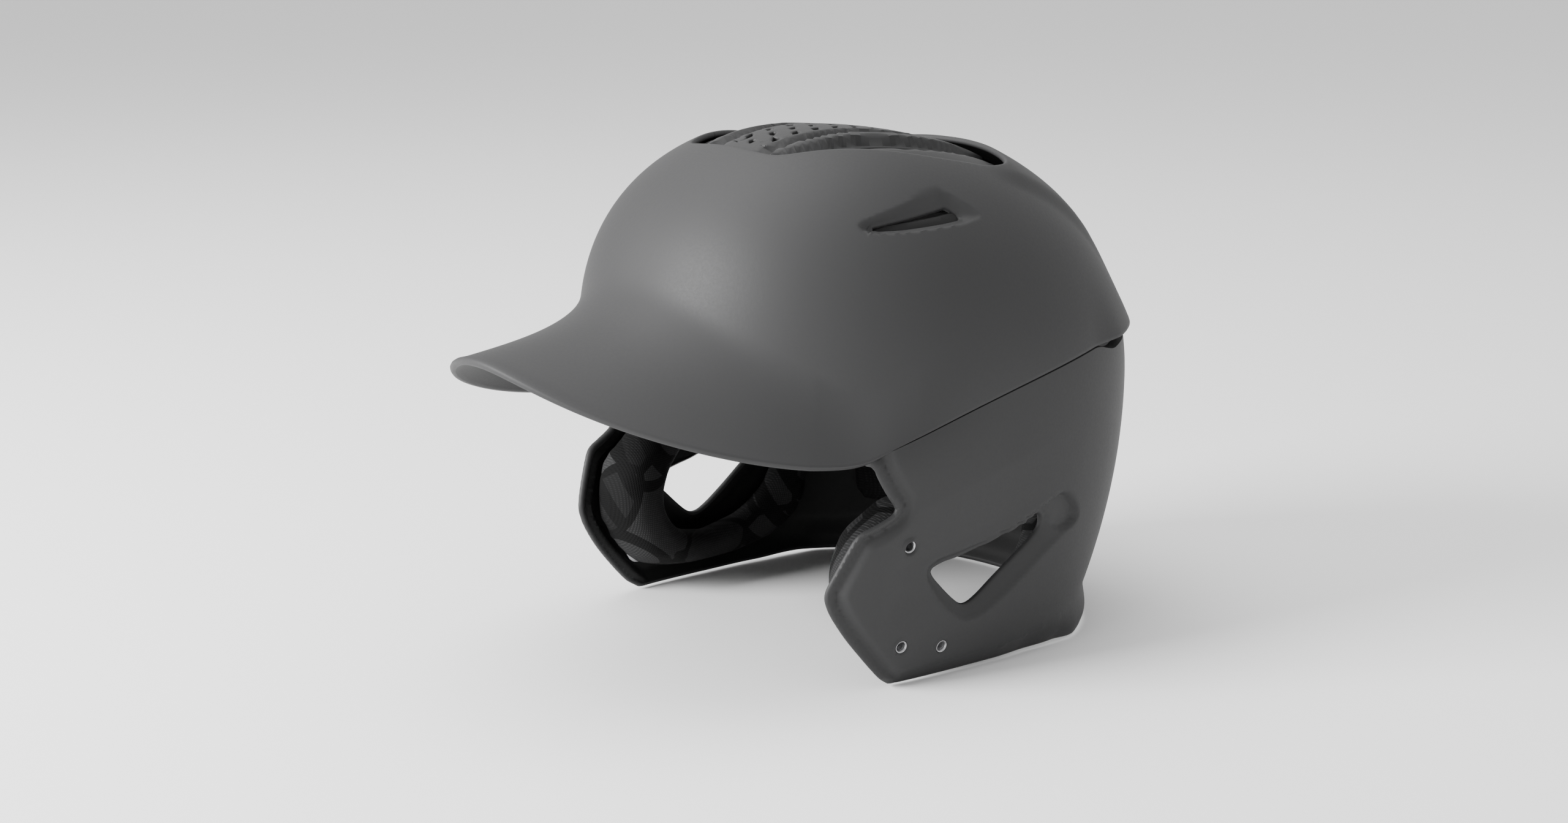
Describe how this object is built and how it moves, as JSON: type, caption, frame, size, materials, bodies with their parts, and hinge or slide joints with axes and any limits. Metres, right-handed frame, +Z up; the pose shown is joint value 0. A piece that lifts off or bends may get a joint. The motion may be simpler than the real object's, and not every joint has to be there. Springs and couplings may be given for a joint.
{
  "type": "batting helmet",
  "caption": "Batting helmet with ear flaps: moulded shell with brim, air vents and ear holes, padded liner, and threaded inserts in the flaps for a face guard.",
  "frame": {"origin": "middle of the helmet's footprint, on the surface it stands on", "axes": "+Z up, -Y forward through the brim, +X towards the wearer's left; mirror symmetric about X = 0"},
  "size_m": [0.2, 0.3022, 0.2041],
  "materials": {
    "upper_shell": "matt moulded plastic, charcoal",
    "lower_shell": "matt moulded plastic, charcoal",
    "insert_steel": "plain steel",
    "foam": "closed-cell foam",
    "ear_pad_fabric": "woven mesh with a faint dark grey pattern",
    "liner_fabric": "brushed knit over foam",
    "hook_loop": "hook-and-loop pile"
  },
  "bodies": {
    "root": {"upper_shell": "upper_shell", "lower_shell": "lower_shell", "left_guard_inserts": "insert_steel", "right_guard_inserts": "insert_steel", "shell_screws": "insert_steel", "left_ear_pad_foam": "foam", "left_ear_pad_cover": "ear_pad_fabric", "right_ear_pad_foam": "foam", "right_ear_pad_cover": "ear_pad_fabric", "left_ear_pad_tabs": "hook_loop", "right_ear_pad_tabs": "hook_loop", "brow_pad_foam": "foam", "brow_pad_cover": "liner_fabric", "left_side_pad": "liner_fabric", "right_side_pad": "liner_fabric", "left_crown_pad": "liner_fabric", "right_crown_pad": "liner_fabric", "rear_pad_foam": "foam", "rear_pad_cover": "liner_fabric", "left_nape_pad": "liner_fabric", "right_nape_pad": "liner_fabric", "liner_tabs": "hook_loop"}
  },
  "joints": []
}
